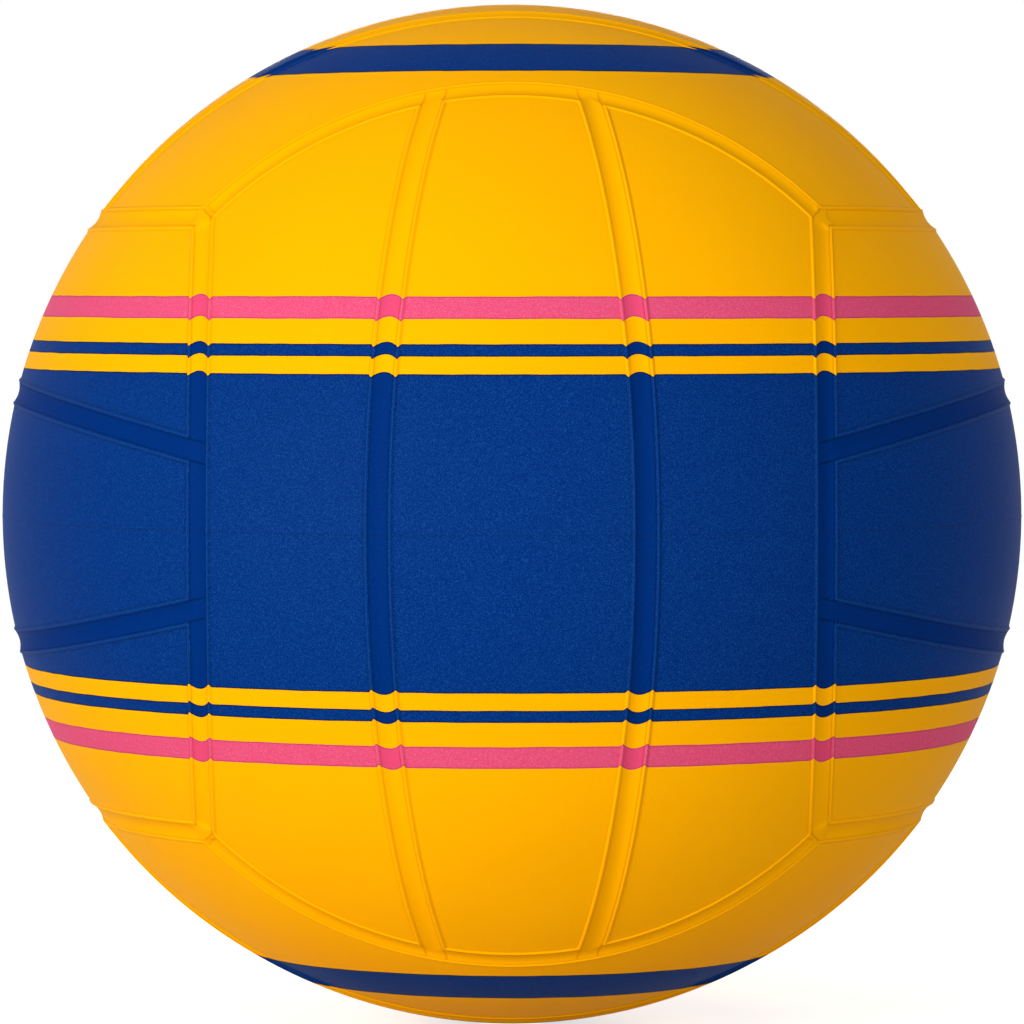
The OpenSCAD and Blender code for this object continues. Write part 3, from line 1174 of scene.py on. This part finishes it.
# The paper fades into the room between these distances, so that no horizon shows
FADE_START, FADE_END = 0.5, 1.3
paper, tree, matte, place = blank("Paper, matte white")
matte.inputs["Base Color"].default_value = linear("#DDDCDA")
matte.inputs["Roughness"].default_value = 0.9
matte.inputs["Specular IOR Level"].default_value = 0.1
shine = add(tree, "ShaderNodeMath", {0: seen_directly(tree), 1: PAPER_GLOW}, operation="MULTIPLY")
glow = add(tree, "ShaderNodeEmission", {"Strength": shine.outputs[0]})
lit = add(tree, "ShaderNodeAddShader", {0: matte.outputs[0], 1: glow.outputs[0]})
away = add(tree, "ShaderNodeVectorMath", {0: place}, operation="LENGTH")
fade = add(
    tree, "ShaderNodeMapRange",
    {"Value": away.outputs["Value"], "From Min": FADE_START, "From Max": FADE_END},
    interpolation_type="SMOOTHSTEP",
)
# From below the paper is clear, so that the underside of the ball can be looked at
below = add(tree, "ShaderNodeNewGeometry").outputs["Backfacing"]
gone = add(tree, "ShaderNodeMath", {0: fade.outputs[0], 1: below}, operation="MAXIMUM")
clear = add(tree, "ShaderNodeBsdfTransparent")
faded = add(
    tree, "ShaderNodeMixShader", {0: gone.outputs[0], 1: lit.outputs[0], 2: clear.outputs[0]}
)
tree.links.new(faded.outputs[0], tree.nodes["Material Output"].inputs["Surface"])
print("The paper fades from", FADE_START, "m to", FADE_END, "m")

# %% Floor
floor_mesh = bpy.data.meshes.new("floor")
floor_corners = [
    (x * FADE_END, y * FADE_END, -BALL_R) for x, y in ((-1, -1), (1, -1), (1, 1), (-1, 1))
]
floor_mesh.from_pydata(floor_corners, [], [(0, 1, 2, 3)])
floor_mesh.materials.append(paper)
floor = bpy.data.objects.new("floor", floor_mesh)
scene.collection.objects.link(floor)
print("Floor at", -BALL_R, "m")

# %% Lamps
def soft_lamp(name, direction, distance, size, power):
    """A square lamp that faces the ball."""
    lamp = bpy.data.lights.new(name, "AREA")
    lamp.size, lamp.energy = size, power
    holder = bpy.data.objects.new(name, lamp)
    scene.collection.objects.link(holder)
    holder.location = np.array(direction, float) / np.linalg.norm(direction) * distance
    holder.rotation_euler = (-holder.location).to_track_quat("-Z", "Y").to_euler()


soft_lamp("key", direction=(-0.66, -0.73, 0.17), distance=1.8, size=0.6, power=22)
soft_lamp("fill", direction=(0.28, -1.0, 0.14), distance=2.0, size=1.2, power=14.5)
soft_lamp("back", direction=(0.0, 1.0, 0.05), distance=2.2, size=0.6, power=24)
print("Lamps:", [light.name for light in bpy.data.lights])

# %% Camera
CAMERA_DISTANCE = 12 * BALL_R
CAMERA_ELEVATION = math.radians(2.2)
SENSOR_MM = 36
# The ball nearly fills the picture, and sits a little low in it
BALL_SHARE = 509.5 / 512
LOW = 2 / 1024
camera = bpy.data.objects.new("camera", bpy.data.cameras.new("camera"))
scene.collection.objects.link(camera)
camera.data.sensor_width = SENSOR_MM
half_view = math.asin(BALL_R / CAMERA_DISTANCE)
camera.data.lens = SENSOR_MM / 2 * BALL_SHARE / math.tan(half_view)
camera.location = (
    0, -CAMERA_DISTANCE * math.cos(CAMERA_ELEVATION), CAMERA_DISTANCE * math.sin(CAMERA_ELEVATION)
)
camera.rotation_euler = (math.pi / 2 - CAMERA_ELEVATION, 0, 0)
camera.data.shift_y = LOW
scene.camera = camera
scene.view_settings.view_transform = "Standard"
print("Camera with a", round(camera.data.lens), "mm lens,", CAMERA_DISTANCE, "m away")
